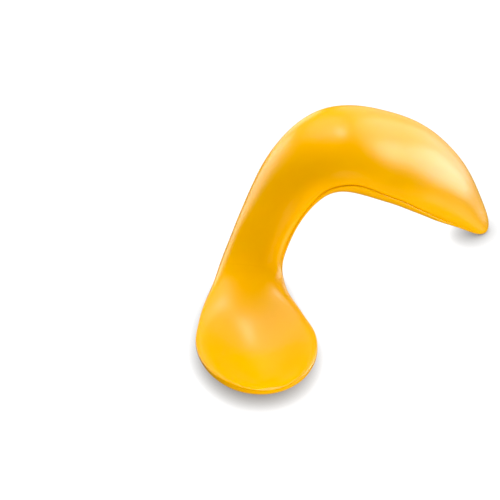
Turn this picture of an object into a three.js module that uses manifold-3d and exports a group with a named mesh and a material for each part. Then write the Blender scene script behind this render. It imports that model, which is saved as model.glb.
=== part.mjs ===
// A child's curved feeding spoon, standing free: the bowl lies level, the neck rises and bends
// to the right, and the fat hollow handle comes over in an arch and down to its point.
//
// Two mouldings make it. The spoon moulding is the bowl, the top of the neck and the upper half
// of the handle. The handle base is the underside of the neck and the lower half of the handle.
// They meet on the parting line, which runs through the widest points of every section, in a
// step joint that is welded. Three pins on the base locate it, and three ribs stiffen it.
//
// Millimetres. +Z is up and the floor is z = 0. The origin is on the floor, in the middle of
// the spoon's bounding box. The bowl's long axis runs along Y, with its front edge towards -Y,
// and the handle runs towards +X.
import * as THREE from "three";
import { NURBSCurve } from "three/addons/curves/NURBSCurve.js";
import { mergeVertices } from "three/addons/utils/BufferGeometryUtils.js";
import Module from "manifold-3d";

// Control points of the spine, from the bowl's front edge to the handle's point.
const SPINE_DEGREE = 3;
const SPINE_POINTS = [
  [-26.5, -40, 7],
  [-28, -10.5, 4.5],
  [-25.5, 6, 3.5],
  [-23.5, 12, 10.5],
  [-12.5, 22, 27],
  [-0.5, 22.5, 35.5],
  [11.5, 25.5, 28.5],
  [29.5, 27, 18],
  [42, 23, 0],
];

// Down the spine: share of its length, half-width, crown over the parting line, depth under it.
const SECTIONS = [
  [0, 0, 0, 0],
  [0.04, 10.8, 1, 3.8],
  [0.09, 14.5, 1, 4.8],
  [0.15, 15.6, 1, 5.4],
  [0.22, 13.5, 1.4, 4.9],
  [0.3, 9.8, 3.6, 5.6],
  [0.34, 8.4, 4.9, 7.4],
  [0.38, 7.6, 5.7, 7],
  [0.46, 8, 5.1, 5.5],
  [0.54, 9.9, 6.5, 7.4],
  [0.62, 12.7, 7.8, 8.8],
  [0.7, 14.4, 8.4, 7.6],
  [0.78, 14.1, 8.7, 6.7],
  [0.86, 11.3, 7, 5.7],
  [0.94, 6.5, 3.7, 3.5],
  [1, 0, 0, 0],
];

// The bowl's sections stand upright, and the handle's lean towards the bowl.
const HANDLE_LEAN = THREE.MathUtils.degToRad(12);
const LEAN_START = 0.2;
const LEAN_END = 0.55;

// The hollow of the bowl, as shares of the spine, with the wall left under it and beside it.
const SCOOP_START = 0.012;
const SCOOP_END = 0.29;
const BOWL_WALL = 2;
const RIM_WIDTH = 1.4;

// The shells: where the base starts, and where the hollow core between the shells runs.
const BASE_START = 0.335;
const CORE_START = 0.37;
const CORE_END = 0.935;
const WALL = 2;
const JOINT_GAP = 0.3;

// The step joint: a tongue round the base stands up inside the wall of the upper half.
const TONGUE_THICKNESS = 0.9;
const TONGUE_HEIGHT = 1.3;
const TONGUE_LEAD = 0.01;
const TONGUE_CLEARANCE = 0.003;

// Locating pins on the base, and their sockets in the upper half.
const PIN_SHARES = [0.56, 0.68, 0.8];
const PIN_RADIUS = 1.3;
const PIN_HEIGHT = 3;
const SOCKET_RADIUS = 2.8;
const SOCKET_START = 1;
const SOCKET_CLEARANCE = 0.3;

// Cross ribs in the base.
const RIB_SHARES = [0.62, 0.74, 0.86];
const RIB_THICKNESS = 1.2;
const RIB_BELOW_PARTING = 1.5;

// Fineness of the facets, and sizes of the cutting blocks.
const RINGS = 60;
const SIDES = 24;
const POST_SIDES = 16;
const SPINE_SAMPLES = 800;
const CLOSEST_RINGS = 0.003;
const END_TRIM = 0.001;
const THINNEST = 0.2;
const BLOCK_MARGIN = 4;
const BLOCK_DEPTH = 12;
const FLOOR_WIDTH = 200;
const FLOOR_DEPTH = 20;
const MERGE_DISTANCE = 1e-4;

const GOLDEN_YELLOW = 0xffc61a;
const SATIN = 0.4;

const wasm = await Module();
wasm.setup();

const spine = new NURBSCurve(
  SPINE_DEGREE,
  clampedKnots(SPINE_POINTS.length, SPINE_DEGREE),
  SPINE_POINTS.map(([x, y, z]) => new THREE.Vector4(x, y, z, 1)),
);
spine.arcLengthDivisions = SPINE_SAMPLES;

// Squares are interpolated, so that a size which ends at nothing ends round.
const squares = new THREE.CubicInterpolant(
  SECTIONS.map(([share]) => share),
  SECTIONS.flatMap(([, width, crown, depth]) => [width ** 2, crown ** 2, depth ** 2]),
  3,
);

function clampedKnots(count, degree) {
  const spans = count - degree;
  const knots = [];
  for (let i = 0; i <= count + degree; i++) {
    knots.push(THREE.MathUtils.clamp((i - degree) / spans, 0, 1));
  }
  return knots;
}

// The section at a share of the spine: its centre, its axes and its three sizes.
function sectionAt(share) {
  const centre = spine.getPointAt(share);
  const along = spine.getTangentAt(share);
  const lean = HANDLE_LEAN * THREE.MathUtils.smoothstep(share, LEAN_START, LEAN_END);
  const upright = new THREE.Vector3(0, -Math.sin(lean), Math.cos(lean));
  const across = upright.cross(along).normalize();
  const up = along.clone().cross(across);
  const sizes = [...squares.evaluate(share)].map((square) => Math.sqrt(Math.max(square, 0)));
  const [width, crown, depth] = sizes;
  return { centre, along, across, up, width, crown, depth };
}

// A point of a section, given its distances across and up from the middle of the parting line.
function place(section, across, up) {
  return section.centre
    .clone()
    .addScaledVector(section.across, across)
    .addScaledVector(section.up, up);
}

// An oval ring round a section, with its own height above the parting line and below it.
function ovalRing(section, half, above, below, middle = 0) {
  const ring = [];
  for (let side = 0; side < SIDES; side++) {
    const angle = (2 * Math.PI * side) / SIDES;
    const height = angle < Math.PI ? above : below;
    ring.push(place(section, half * Math.cos(angle), middle + height * Math.sin(angle)));
  }
  return ring;
}

// Shares from start to end. All bodies share one spacing, closer at both ends of the spine, so
// that their facets line up.
function sharesBetween(start, end) {
  const shares = [start];
  for (let i = 1; i < RINGS; i++) {
    const even = i / RINGS;
    const eased = (1 - Math.cos(Math.PI * even)) / 2;
    const share = (even + eased) / 2;
    if (share > start + CLOSEST_RINGS && share < end - CLOSEST_RINGS) {
      shares.push(share);
    }
  }
  return [...shares, end];
}

// A closed body through the rings that a function makes from each section.
function loft(start, end, ringOf) {
  const rings = sharesBetween(start, end).map((share) => ringOf(sectionAt(share), share));
  const sides = rings[0].length;
  const points = rings.flat();
  const faces = [];
  for (let r = 0; r + 1 < rings.length; r++) {
    for (let side = 0; side < sides; side++) {
      const a = r * sides + side;
      const b = r * sides + ((side + 1) % sides);
      faces.push(a, b, a + sides, b, b + sides, a + sides);
    }
  }
  addCap(points, faces, 0, sides, false);
  addCap(points, faces, (rings.length - 1) * sides, sides, true);
  return solidOf(new THREE.BufferGeometry().setFromPoints(points).setIndex(faces));
}

// Closes one ring with a fan of faces round its middle.
function addCap(points, faces, first, sides, isEnd) {
  const middle = new THREE.Vector3();
  for (let side = 0; side < sides; side++) {
    middle.addScaledVector(points[first + side], 1 / sides);
  }
  const hub = points.push(middle) - 1;
  for (let side = 0; side < sides; side++) {
    const a = first + side;
    const b = first + ((side + 1) % sides);
    faces.push(...(isEnd ? [hub, a, b] : [hub, b, a]));
  }
}

function solidOf(geometry) {
  geometry.deleteAttribute("normal");
  geometry.deleteAttribute("uv");
  const merged = mergeVertices(geometry, MERGE_DISTANCE);
  const mesh = new wasm.Mesh({
    numProp: 3,
    vertProperties: merged.attributes.position.array,
    triVerts: new Uint32Array(merged.index.array),
  });
  return new wasm.Manifold(mesh);
}

// The outer shape between two shares, taken in all round by an inset.
function ovalBody(start, end, inset) {
  const takenIn = (size) => Math.max(size - inset, THINNEST);
  return loft(start, end, (section) =>
    ovalRing(section, takenIn(section.width), takenIn(section.crown), takenIn(section.depth)),
  );
}

// A band wider than the part, between two heights over the parting line.
function partingBlock(start, end, low, high) {
  return loft(start, end, (section) => {
    const side = section.width + BLOCK_MARGIN;
    return [
      place(section, side, low),
      place(section, side, high),
      place(section, -side, high),
      place(section, -side, low),
    ];
  });
}

function belowFloor() {
  const slab = new THREE.BoxGeometry(FLOOR_WIDTH, FLOOR_WIDTH, FLOOR_DEPTH);
  return solidOf(slab.translate(0, 0, -FLOOR_DEPTH / 2));
}

// The bowl's hollow: ovals hung from the rim, which close up towards the neck.
function scoop() {
  return loft(SCOOP_START, SCOOP_END, (section, share) => {
    const run = (share - SCOOP_START) / (SCOOP_END - SCOOP_START);
    const fade = Math.sqrt(1 - run ** 3);
    const half = Math.max((section.width - RIM_WIDTH) * fade, THINNEST);
    const deep = Math.max((section.crown + section.depth - BOWL_WALL) * fade, THINNEST);
    return ovalRing(section, half, deep, deep, section.crown);
  });
}

// Places a shape in a section: its X runs across, its Y up and its Z along the spine.
function placedIn(section, geometry) {
  const turn = new THREE.Matrix4().makeBasis(section.across, section.up, section.along);
  return solidOf(geometry.applyMatrix4(turn.setPosition(section.centre)));
}

// A round post across the handle, between two heights over the parting line.
function post(section, radius, low, high) {
  const cylinder = new THREE.CylinderGeometry(radius, radius, high - low, POST_SIDES);
  return placedIn(section, cylinder.translate(0, (high + low) / 2, 0));
}

// A plate across the handle, from the bottom of the base up to a little under the parting line.
function rib(section) {
  const height = section.depth - RIB_BELOW_PARTING;
  const plate = new THREE.BoxGeometry(2 * section.width, height, RIB_THICKNESS);
  return placedIn(section, plate.translate(0, -RIB_BELOW_PARTING - height / 2, 0));
}

const outer = ovalBody(END_TRIM, 1 - END_TRIM, 0).subtract(belowFloor());
const core = ovalBody(CORE_START, CORE_END, WALL);
const withinWalls = ovalBody(CORE_START, CORE_END, WALL / 2);

// The tongue of the base, or with a clearance the rebate in the upper half that takes it.
function tongue(clearance, lead) {
  const start = CORE_START - lead;
  const end = CORE_END + lead;
  const band = partingBlock(start, end, -SOCKET_START, TONGUE_HEIGHT + clearance);
  return ovalBody(start, end, WALL - TONGUE_THICKNESS - clearance).intersect(band);
}

function handleBase() {
  const lowerHalf = partingBlock(BASE_START, 1, -BLOCK_DEPTH, -JOINT_GAP / 2);
  let base = outer.intersect(lowerHalf).add(tongue(0, TONGUE_LEAD)).subtract(core);
  for (const share of PIN_SHARES) {
    const section = sectionAt(share);
    const pin = post(section, PIN_RADIUS, -section.depth, PIN_HEIGHT);
    base = base.add(pin.intersect(withinWalls));
  }
  for (const share of RIB_SHARES) {
    base = base.add(rib(sectionAt(share)).intersect(withinWalls));
  }
  return base;
}

function spoonMoulding() {
  const start = BASE_START - TONGUE_CLEARANCE;
  const lowerHalf = partingBlock(start, 1, -BLOCK_DEPTH, JOINT_GAP / 2);
  let moulding = outer.subtract(scoop()).subtract(lowerHalf).subtract(core);
  for (const share of PIN_SHARES) {
    const section = sectionAt(share);
    const socket = post(section, SOCKET_RADIUS, SOCKET_START, section.crown);
    const bore = post(section, PIN_RADIUS + SOCKET_CLEARANCE, 0, PIN_HEIGHT + JOINT_GAP);
    moulding = moulding.add(socket.intersect(withinWalls)).subtract(bore);
  }
  return moulding.subtract(tongue(JOINT_GAP, TONGUE_LEAD + TONGUE_CLEARANCE));
}

function meshOf(name, solid) {
  const { numProp, vertProperties, triVerts } = solid.getMesh();
  const geometry = new THREE.BufferGeometry();
  geometry.setAttribute("position", new THREE.BufferAttribute(vertProperties, numProp));
  geometry.setIndex(new THREE.BufferAttribute(triVerts, 1));
  geometry.computeVertexNormals();
  const plastic = new THREE.MeshStandardMaterial({
    color: GOLDEN_YELLOW,
    roughness: SATIN,
    metalness: 0,
  });
  const mesh = new THREE.Mesh(geometry, plastic);
  mesh.name = name;
  return mesh;
}

const spoon = new THREE.Group();
spoon.add(meshOf("spoon_moulding", spoonMoulding()));
spoon.add(meshOf("handle_base", handleBase()));

export default spoon;
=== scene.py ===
"""Looks of the curved toddler spoon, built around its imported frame.

Two fine mouldings replace the two faceted ones: the spoon moulding, which is the bowl, the neck
and the top of the handle, and the handle base under it. The spoon's own sizes are in millimetres
until a mesh is made. The floor, the lights and the camera are in metres.
"""
import math

import bpy
import numpy as np
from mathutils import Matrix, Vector


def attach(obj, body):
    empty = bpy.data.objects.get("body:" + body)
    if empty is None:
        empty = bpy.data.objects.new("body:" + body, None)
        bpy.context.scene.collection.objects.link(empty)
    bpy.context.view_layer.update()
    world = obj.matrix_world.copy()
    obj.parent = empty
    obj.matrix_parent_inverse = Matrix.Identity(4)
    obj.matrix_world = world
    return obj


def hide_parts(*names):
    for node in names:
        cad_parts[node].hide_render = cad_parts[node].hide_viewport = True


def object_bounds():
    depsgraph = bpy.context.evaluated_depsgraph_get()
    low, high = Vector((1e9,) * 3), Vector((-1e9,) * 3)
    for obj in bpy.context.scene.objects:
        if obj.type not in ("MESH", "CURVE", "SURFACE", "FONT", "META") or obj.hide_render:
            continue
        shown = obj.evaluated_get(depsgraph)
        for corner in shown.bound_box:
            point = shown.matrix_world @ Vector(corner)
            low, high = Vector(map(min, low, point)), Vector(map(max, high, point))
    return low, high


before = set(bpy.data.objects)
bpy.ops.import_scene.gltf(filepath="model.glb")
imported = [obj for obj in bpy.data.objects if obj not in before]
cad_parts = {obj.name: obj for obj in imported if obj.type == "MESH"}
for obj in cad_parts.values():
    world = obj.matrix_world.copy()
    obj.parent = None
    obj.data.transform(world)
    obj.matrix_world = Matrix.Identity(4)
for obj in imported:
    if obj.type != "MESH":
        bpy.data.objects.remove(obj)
cad_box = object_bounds()

MM = 0.001

# The spine's control points, the sections down it and the lean of the handle, as in the CAD. The
# spine's length is rounded.
SPINE_DEGREE = 3
SPINE_LENGTH = 145
SPINE_POINTS = [
    (-26.5, -40, 7),
    (-28, -10.5, 4.5),
    (-25.5, 6, 3.5),
    (-23.5, 12, 10.5),
    (-12.5, 22, 27),
    (-0.5, 22.5, 35.5),
    (11.5, 25.5, 28.5),
    (29.5, 27, 18),
    (42, 23, 0),
]
# Share of the spine, half-width, crown over the parting line, depth under it.
SECTIONS = [
    (0, 0, 0, 0),
    (0.04, 10.8, 1, 3.8),
    (0.09, 14.5, 1, 4.8),
    (0.15, 15.6, 1, 5.4),
    (0.22, 13.5, 1.4, 4.9),
    (0.3, 9.8, 3.6, 5.6),
    (0.34, 8.4, 4.9, 7.4),
    (0.38, 7.6, 5.7, 7),
    (0.46, 8, 5.1, 5.5),
    (0.54, 9.9, 6.5, 7.4),
    (0.62, 12.7, 7.8, 8.8),
    (0.7, 14.4, 8.4, 7.6),
    (0.78, 14.1, 8.7, 6.7),
    (0.86, 11.3, 7, 5.7),
    (0.94, 6.5, 3.7, 3.5),
    (1, 0, 0, 0),
]
HANDLE_LEAN = math.radians(12)
LEAN_START, LEAN_END = 0.2, 0.55

# The bowl: a squarer top edge makes its rim, and a dish sinks between the rims. An ellipse has a
# squareness of 2.
BOWL_WALL = 2
ELLIPSE = 2
RIM_SQUARENESS = 5
RIM_SHARE = 0.93
DISH_FADE_START, DISH_FADE_END = 0.13, 0.31
DISH_POWER = 1.5
# The neck's front is flatter where it rises out of the bowl.
NECK_DIP, DIP_CENTRE, DIP_REACH = 1.3, 0.385, 0.045

# The two shells and the hollow core between them. Past its ends the core keeps a small share of
# its width and no height.
BASE_START = 0.335
CORE_START, CORE_END = 0.37, 0.935
CORE_ROUNDING = 0.02
CLOSED_SHARE = 0.02
WALL = 2
LEAST_HALF_WIDTH, LEAST_HEIGHT = 0.1, 0.05

# The seam: a gap between two rounded edges, where the base stands out in a narrow ledge. Where
# little height is left, the rounding and half the gap are at most a share of that height.
SEAM_GAP = 0.06
HALF_GAP_SHARE = 0.1
TOP_ROUNDING = 0.14
BASE_ROUNDING = 2 * TOP_ROUNDING
ROUNDING_SHARE = 0.3
LARGEST_SINE = 0.9
LEDGE = 0.42
LEDGE_FULL_START, LEDGE_FULL_END, LEDGE_END = 0.42, 0.86, 0.99

# How softly the spoon flattens where it rests.
FLOOR_SOFTNESS = 0.12

# Fineness.
RINGS = 420
TOP_POINTS = 96
FILLET_POINTS = 6
FACE_POINTS = 4
INNER_POINTS = 44
SPINE_SAMPLES = 4000
SHARP_EDGE = math.radians(35)
TINY = 1e-6
JUST_UNDER_ONE = 1 - 1e-9

# The plastic: flow clouds of two close shades, a polish between two close roughnesses, and a
# grain. A noise has a scale and a detail.
DEEP_YELLOW = (0.905, 0.431, 0.0004, 1)
PALE_YELLOW = (0.915, 0.441, 0.0006, 1)
LEAST_ROUGHNESS, MOST_ROUGHNESS = 0.275, 0.3
CLOUD_NOISE = (45, 1)
POLISH_NOISE = (160, 1)
GRAIN_NOISE = (2600, 2)
RAMP_START, RAMP_END = 0.2, 0.8

# The studio. The floor looks white, with a painted shadow where its glow darkens close to the
# object, and what is as dark as the black level is shown black.
WHITE = 1
FLOOR_GREY = 0.08
FLOOR_HALF_SIDE = 3.0
PAINTED_SHADOW_REACH = 0.0048
PAINTED_SHADOW_SAMPLES = 16
FLOOR_BOUNCE = 0.65
BACKGROUND = 1.0
AMBIENT = 0.06
LIGHT_DISTANCE = 0.8
BLACK_LEVEL = 0.012

# Each light's name, azimuth and elevation, width and height, and radiance. The softboxes light
# the plastic's colour and don't show in its gloss. The cards show in the gloss alone.
SOFTBOXES = [
    ("back_softbox", -8, 50, (0.8, 0.8), 7.3),
    ("front_softbox", 178, 10, (0.8, 0.6), 4.4),
    ("right_softbox", 106, -16, (0.6, 0.5), 5.0),
]
CARDS = [
    ("right_card", 79, 11, (0.56, 0.82), 5.6),
    ("right_glow", 62, 17, (0.88, 1.1), 2.4),
    ("right_haze", 38, 3, (0.9, 0.8), 0.8),
    ("floor_glow", 107, -28, (0.4, 0.3), 1.2),
    ("left_card", -54, 5, (0.8, 0.5), 4.2),
    ("back_card", -12, -4, (0.35, 0.35), 1.8),
    ("back_lamp", 23, 65, (0.18, 0.18), 9.5),
]

# The camera turns about the object's middle, which lies right of the picture's centre. Its lens
# and sensor are in millimetres.
CAMERA_AZIMUTH = 8.35
CAMERA_ELEVATION = 39.83
CAMERA_DISTANCE = 0.8897
CAMERA_LENS = 246.1
CAMERA_CLIP_END = 10
SENSOR = 36
AIM_RIGHT, AIM_UP = -0.02575, -0.0024


def smoothstep(values, start, end):
    run = np.clip((values - start) / (end - start), 0, 1)
    return run * run * (3 - 2 * run)


def b_spline(points, params, degree):
    """Points of a clamped, evenly knotted B-spline."""
    points = np.asarray(points, float)
    spans = len(points) - degree
    knots = np.clip((np.arange(len(points) + degree + 1) - degree) / spans, 0, 1)
    params = np.clip(params, 0, JUST_UNDER_ONE)[:, None]
    basis = ((knots[:-1] <= params) & (params < knots[1:])).astype(float)
    for k in range(1, degree + 1):
        left_span = knots[k:-1] - knots[: -k - 1]
        right_span = knots[k + 1 :] - knots[1:-k]
        left = (params - knots[: -k - 1]) / np.where(left_span > 0, left_span, np.inf)
        right = (knots[k + 1 :] - params) / np.where(right_span > 0, right_span, np.inf)
        basis = left * basis[:, :-1] + right * basis[:, 1:]
    return basis @ points


def through(table, shares):
    """Smooth values of a table's columns; each slope is the mean of its neighbours' slopes."""
    table = np.asarray(table, float)
    stops, values = table[:, 0], table[:, 1:]
    secants = np.diff(values, axis=0) / np.diff(stops)[:, None]
    slopes = np.vstack([secants[:1], (secants[1:] + secants[:-1]) / 2, secants[-1:]])
    i = np.clip(np.searchsorted(stops, shares, side="right") - 1, 0, len(stops) - 2)
    width = (stops[i + 1] - stops[i])[:, None]
    t = (shares - stops[i])[:, None] / width
    return (
        (2 * t**3 - 3 * t**2 + 1) * values[i]
        + (t**3 - 2 * t**2 + t) * width * slopes[i]
        + (3 * t**2 - 2 * t**3) * values[i + 1]
        + (t**3 - t**2) * width * slopes[i + 1]
    )


class Sections:
    """The spoon's sections at some shares of the spine: centres, axes and sizes."""

    def __init__(self, shares):
        self.share = shares
        curve = b_spline(SPINE_POINTS, np.linspace(0, 1, SPINE_SAMPLES), SPINE_DEGREE)
        steps = np.linalg.norm(np.diff(curve, axis=0), axis=1)
        length = np.concatenate([[0], np.cumsum(steps)])
        length /= length[-1]
        slopes = np.gradient(curve, length, axis=0)

        def at_shares(values):
            return np.stack([np.interp(shares, length, column) for column in values.T], 1)

        self.centre = at_shares(curve)
        along = at_shares(slopes)
        along /= np.linalg.norm(along, axis=1)[:, None]
        lean = HANDLE_LEAN * smoothstep(shares, LEAN_START, LEAN_END)
        upright = np.stack([0 * lean, -np.sin(lean), np.cos(lean)], 1)
        across = np.cross(upright, along)
        self.across = across / np.linalg.norm(across, axis=1)[:, None]
        self.up = np.cross(along, self.across)
        squares = np.asarray(SECTIONS, float) ** (1, 2, 2, 2)
        sizes = np.sqrt(np.maximum(through(squares, shares), 0))
        self.width, self.crown, self.depth = sizes.T
        fade = 1 - smoothstep(shares, DISH_FADE_START, DISH_FADE_END)
        self.dish = np.maximum(self.crown + self.depth - BOWL_WALL, 0) * fade
        self.dish += NECK_DIP * np.exp(-(((shares - DIP_CENTRE) / DIP_REACH) ** 2))
        self.squareness = ELLIPSE + (RIM_SQUARENESS - ELLIPSE) * fade

    def place(self, across, up):
        """Turns outlines, given across and up in every section, into points in millimetres."""
        points = (
            self.centre[:, None]
            + across[..., None] * self.across[:, None]
            + up[..., None] * self.up[:, None]
        )
        points[..., 2] = rest_on_floor(points[..., 2])
        return points


def rest_on_floor(height):
    """Flattens what would dip under the floor, with a soft edge."""
    return (height + np.sqrt(height**2 + FLOOR_SOFTNESS**2)) / 2


def spread(count):
    """One row of evenly spaced values from 0 to 1."""
    return np.linspace(0, 1, count)[None, :]


def ring_shares():
    """Shares of the spine, closer together where the spoon's ends round off."""
    shares = (1 - np.cos(math.pi * np.linspace(0, 1, RINGS + 1))) / 2
    return np.clip(shares, TINY, 1 - TINY)


def top_outline(sections, angles):
    """The top surface at angles from 0, the right edge, to pi, the left edge."""
    side = np.cos(angles)
    power = sections.squareness[:, None]
    crown = sections.crown[:, None] * (1 - np.abs(side) ** power).clip(0) ** (1 / power)
    dish = np.clip(1 - (side / RIM_SHARE) ** 2, 0, None) ** DISH_POWER
    return sections.width[:, None] * side, crown - sections.dish[:, None] * dish


def hollow(sections, height):
    """Half-width and height of the core at each section."""
    opening = np.clip((sections.share - CORE_START) / CORE_ROUNDING, 0, 1)
    closing = np.clip((CORE_END - sections.share) / CORE_ROUNDING, 0, 1)
    open_share = np.sqrt(opening * (2 - opening) * closing * (2 - closing))
    half = np.maximum(sections.width - WALL, LEAST_HALF_WIDTH)
    half *= np.maximum(open_share, CLOSED_SHARE)
    return half[:, None], (np.maximum(height - WALL, LEAST_HEIGHT) * open_share)[:, None]


def seam_edge(limit, full_rounding):
    """The rounding of a shell's edge and its distance from the parting line."""
    rounding = np.minimum(full_rounding, ROUNDING_SHARE * limit)
    return rounding, np.minimum(SEAM_GAP / 2, HALF_GAP_SHARE * limit)


def edge_angle(distance, height):
    """The angle at which an outline of that height is a distance from the parting line."""
    return np.arcsin(np.clip(distance / height, 0, LARGEST_SINE))


def shell_edge(edge, rounding, distance, half):
    """The rounded edge of a shell and its joint face, from the outside to the core."""
    turn = spread(FILLET_POINTS + 1)[:, 1:] * math.pi / 2
    fillet_x = edge - rounding * (1 - np.cos(turn))
    fillet_y = distance + rounding * (1 - np.sin(turn))
    half = np.minimum(half, fillet_x[:, -1:])
    face_x = fillet_x[:, -1:] + (half - fillet_x[:, -1:]) * spread(FACE_POINTS + 1)[:, 1:]
    face_y = distance + 0 * face_x
    return np.hstack([fillet_x, face_x]), np.hstack([fillet_y, face_y]), half


def spoon_moulding_rings():
    """Rings of the spoon moulding: its top, then its underside or the inside of its shell."""
    shares = np.sort(np.append(ring_shares(), [BASE_START, BASE_START + TINY]))
    sections = Sections(shares)
    is_shell = (shares > BASE_START)[:, None]
    limit = sections.crown[:, None]
    rounding, lift = seam_edge(limit, TOP_ROUNDING)
    start = np.where(is_shell, edge_angle(rounding + lift, limit), 0)
    angles = start + spread(TOP_POINTS + 1) * (math.pi - 2 * start)
    top_x, top_y = top_outline(sections, angles)

    half, height = hollow(sections, sections.crown)
    edge_x, edge_y, half = shell_edge(top_x[:, :1], rounding, lift, half)
    inner = spread(INNER_POINTS + 2)[:, 1:-1] * math.pi
    inner_x = -half * np.cos(inner)
    inner_y = lift + height * np.sin(inner)
    shell_x = np.hstack([-edge_x, inner_x, edge_x[:, ::-1]])
    shell_y = np.hstack([edge_y, inner_y, edge_y[:, ::-1]])

    under = math.pi * (1 + spread(shell_x.shape[1] + 2)[:, 1:-1])
    under_x = sections.width[:, None] * np.cos(under)
    under_y = sections.depth[:, None] * np.sin(under)
    low_x = np.where(is_shell, shell_x, under_x)
    low_y = np.where(is_shell, shell_y, under_y)
    return sections.place(np.hstack([top_x, low_x]), np.hstack([top_y, low_y]))


def handle_base_rings():
    """Rings of the handle base: its underside, then its joint faces and its inside."""
    shares = ring_shares()
    shares = shares[shares > BASE_START + SEAM_GAP / SPINE_LENGTH]
    sections = Sections(shares)
    limit = np.minimum(sections.crown, sections.depth)[:, None]
    rounding, drop = seam_edge(limit, BASE_ROUNDING)
    rise = smoothstep(shares, BASE_START, LEDGE_FULL_START)
    fall = smoothstep(shares, LEDGE_FULL_END, LEDGE_END)
    width = (sections.width + LEDGE * (rise * (1 - fall)))[:, None]
    depth = sections.depth[:, None]
    start = edge_angle(rounding + drop, depth)
    angles = math.pi + start + spread(TOP_POINTS + 1) * (math.pi - 2 * start)
    under_x, under_y = width * np.cos(angles), depth * np.sin(angles)

    half, height = hollow(sections, sections.depth)
    edge_x, edge_y, half = shell_edge(under_x[:, -1:], rounding, drop, half)
    inner = spread(INNER_POINTS + 2)[:, 1:-1] * math.pi
    inner_x = half * np.cos(inner)
    inner_y = -drop - height * np.sin(inner)
    x = np.hstack([under_x, edge_x, inner_x, -edge_x[:, ::-1]])
    y = np.hstack([under_y, -edge_y, inner_y, -edge_y[:, ::-1]])
    return sections.place(x, y)


def lofted_mesh(name, rings):
    """A closed mesh through rings of points, with a fan at each end."""
    count, sides, _ = rings.shape
    points = np.vstack([rings.reshape(-1, 3), rings[0].mean(0), rings[-1].mean(0)]) * MM
    a = np.arange(count - 1)[:, None] * sides + np.arange(sides)[None, :]
    b = np.arange(count - 1)[:, None] * sides + (np.arange(sides)[None, :] + 1) % sides
    quads = np.stack([a, b, b + sides, a + sides], -1).reshape(-1, 4).tolist()
    around = [(side, (side + 1) % sides) for side in range(sides)]
    last, hub = (count - 1) * sides, count * sides
    start_cap = [(hub, q, p) for p, q in around]
    end_cap = [(hub + 1, last + p, last + q) for p, q in around]
    mesh = bpy.data.meshes.new(name)
    mesh.from_pydata(points.tolist(), [], quads + start_cap + end_cap)
    mesh.validate()
    mesh.polygons.foreach_set("use_smooth", [True] * len(mesh.polygons))
    mesh.set_sharp_from_angle(angle=SHARP_EDGE)
    piece = bpy.data.objects.new(name, mesh)
    bpy.context.scene.collection.objects.link(piece)
    return piece


def grey(value):
    return (value, value, value, 1)


def plastic():
    """Satin golden-yellow polypropylene: faint flow clouds, an uneven polish and a fine grain."""
    material = bpy.data.materials.new("satin_yellow_plastic")
    material.use_nodes = True
    nodes, links = material.node_tree.nodes, material.node_tree.links
    shader = nodes["Principled BSDF"]
    shader.inputs["IOR"].default_value = 1.49
    shader.inputs["Specular IOR Level"].default_value = 0.4
    shader.inputs["Subsurface Weight"].default_value = 0.12
    shader.inputs["Subsurface Radius"].default_value = (1.0, 0.45, 0.05)
    shader.inputs["Subsurface Scale"].default_value = 0.0015
    place = nodes.new("ShaderNodeTexCoord")

    def noise(scale, detail):
        node = nodes.new("ShaderNodeTexNoise")
        node.inputs["Scale"].default_value = scale
        node.inputs["Detail"].default_value = detail
        links.new(place.outputs["Object"], node.inputs["Vector"])
        return node

    def ramp(source, low, high):
        node = nodes.new("ShaderNodeValToRGB")
        start, end = node.color_ramp.elements
        start.position, start.color = RAMP_START, low
        end.position, end.color = RAMP_END, high
        links.new(source.outputs["Fac"], node.inputs["Fac"])
        return node

    clouds = ramp(noise(*CLOUD_NOISE), DEEP_YELLOW, PALE_YELLOW)
    links.new(clouds.outputs["Color"], shader.inputs["Base Color"])
    polish = ramp(noise(*POLISH_NOISE), grey(LEAST_ROUGHNESS), grey(MOST_ROUGHNESS))
    links.new(polish.outputs["Color"], shader.inputs["Roughness"])
    grain = noise(*GRAIN_NOISE)
    bump = nodes.new("ShaderNodeBump")
    bump.inputs["Strength"].default_value = 0.015
    bump.inputs["Distance"].default_value = 0.0002
    links.new(grain.outputs["Fac"], bump.inputs["Height"])
    links.new(bump.outputs["Normal"], shader.inputs["Normal"])
    return material


def add_piece(name, rings, node, material):
    piece = lofted_mesh(name, rings)
    piece.data.materials.append(material)
    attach(piece, "root")
    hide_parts(node)


def blend_by_ray(tree, ray_kind, strength):
    """Links a strength to a blend, whose value is B for that kind of ray and A for others."""
    ray = tree.nodes.new("ShaderNodeLightPath")
    blend = tree.nodes.new("ShaderNodeMix")
    blend.data_type = "FLOAT"
    tree.links.new(ray.outputs[ray_kind], blend.inputs["Factor"])
    tree.links.new(blend.outputs["Result"], strength)
    return blend


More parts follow.
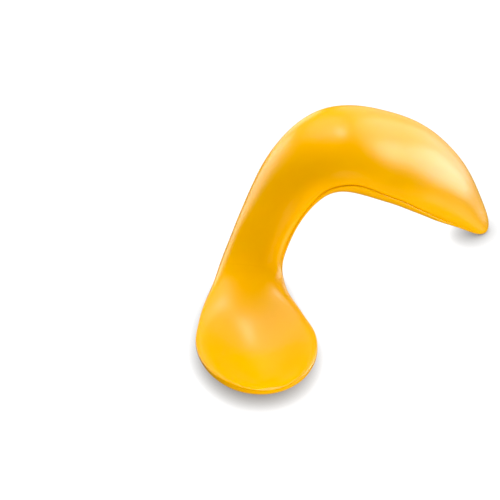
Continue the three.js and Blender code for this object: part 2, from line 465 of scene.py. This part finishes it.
def add_floor():
    """A glowing white floor, with a painted shadow: the camera sees its glow darken where the
    object is near.
    """
    far = FLOOR_HALF_SIDE
    corners = [(-far, -far, 0), (far, -far, 0), (far, far, 0), (-far, far, 0)]
    mesh = bpy.data.meshes.new("floor")
    mesh.from_pydata(corners, [], [(0, 1, 2, 3)])
    floor = bpy.data.objects.new("floor", mesh)
    bpy.context.scene.collection.objects.link(floor)
    material = bpy.data.materials.new("pale_floor")
    material.use_nodes = True
    tree = material.node_tree
    shader = tree.nodes["Principled BSDF"]
    shader.inputs["Base Color"].default_value = grey(FLOOR_GREY)
    shader.inputs["Roughness"].default_value = 0.9
    shader.inputs["Specular IOR Level"].default_value = 0.0
    shader.inputs["Emission Color"].default_value = grey(WHITE)
    # Painted shadow: an ambient-occlusion node scales the glow that the camera sees, so the floor
    # darkens near the object though no light is blocked.
    painted_floor_shade = tree.nodes.new("ShaderNodeAmbientOcclusion")
    painted_floor_shade.samples = PAINTED_SHADOW_SAMPLES
    painted_floor_shade.inputs["Distance"].default_value = PAINTED_SHADOW_REACH
    glow = blend_by_ray(tree, "Is Diffuse Ray", shader.inputs["Emission Strength"])
    tree.links.new(painted_floor_shade.outputs["AO"], glow.inputs["A"])
    glow.inputs["B"].default_value = FLOOR_BOUNCE
    material.cycles.emission_sampling = "NONE"
    mesh.materials.append(material)
    floor.visible_glossy = False
    floor.visible_shadow = False


def add_world():
    """A faint light from all round, which the camera sees as a white background."""
    world = bpy.data.worlds.new("studio")
    bpy.context.scene.world = world
    world.use_nodes = True
    background = world.node_tree.nodes["Background"]
    background.inputs["Color"].default_value = grey(WHITE)
    strength = blend_by_ray(world.node_tree, "Is Camera Ray", background.inputs["Strength"])
    strength.inputs["A"].default_value = AMBIENT
    strength.inputs["B"].default_value = BACKGROUND


def direction(azimuth, elevation):
    """A unit vector: azimuth 0 is +Y, turning towards +X."""
    a, e = math.radians(azimuth), math.radians(elevation)
    return Vector((math.sin(a) * math.cos(e), math.cos(a) * math.cos(e), math.sin(e)))


def aim(thing, place, target):
    thing.location = place
    thing.rotation_euler = (target - place).to_track_quat("-Z", "Y").to_euler()
    bpy.context.scene.collection.objects.link(thing)


def add_panel(name, azimuth, elevation, size, radiance):
    """An oval panel of light that faces the object's middle."""
    width, height = size
    light = bpy.data.lights.new(name, "AREA")
    light.shape = "ELLIPSE"
    light.size, light.size_y = width, height
    light.energy = radiance * math.pi * width * height * math.pi / 4
    panel = bpy.data.objects.new(name, light)
    aim(panel, middle + direction(azimuth, elevation) * LIGHT_DISTANCE, middle)
    panel.visible_camera = False
    return panel


def add_camera():
    camera = bpy.data.cameras.new("camera")
    camera.lens = CAMERA_LENS
    camera.sensor_width = SENSOR
    camera.clip_end = CAMERA_CLIP_END
    thing = bpy.data.objects.new("camera", camera)
    forward = direction(CAMERA_AZIMUTH, -CAMERA_ELEVATION)
    right = forward.cross(Vector((0, 0, 1))).normalized()
    target = middle + right * AIM_RIGHT + right.cross(forward) * AIM_UP
    aim(thing, target - forward * CAMERA_DISTANCE, target)
    bpy.context.scene.camera = thing


lowest, highest = (Vector(corner) for corner in cad_box)
middle = (lowest + highest) / 2

add_camera()
add_world()
add_floor()
for softbox in SOFTBOXES:
    add_panel(*softbox).visible_glossy = False
for card in CARDS:
    add_panel(*card).visible_diffuse = False

yellow_plastic = plastic()
add_piece("spoon_moulding_fine", spoon_moulding_rings(), "spoon_moulding", yellow_plastic)
add_piece("handle_base_fine", handle_base_rings(), "handle_base", yellow_plastic)

view = bpy.context.scene.view_settings
view.view_transform = "Standard"
view.use_curve_mapping = True
view.curve_mapping.black_level = (BLACK_LEVEL, BLACK_LEVEL, BLACK_LEVEL)
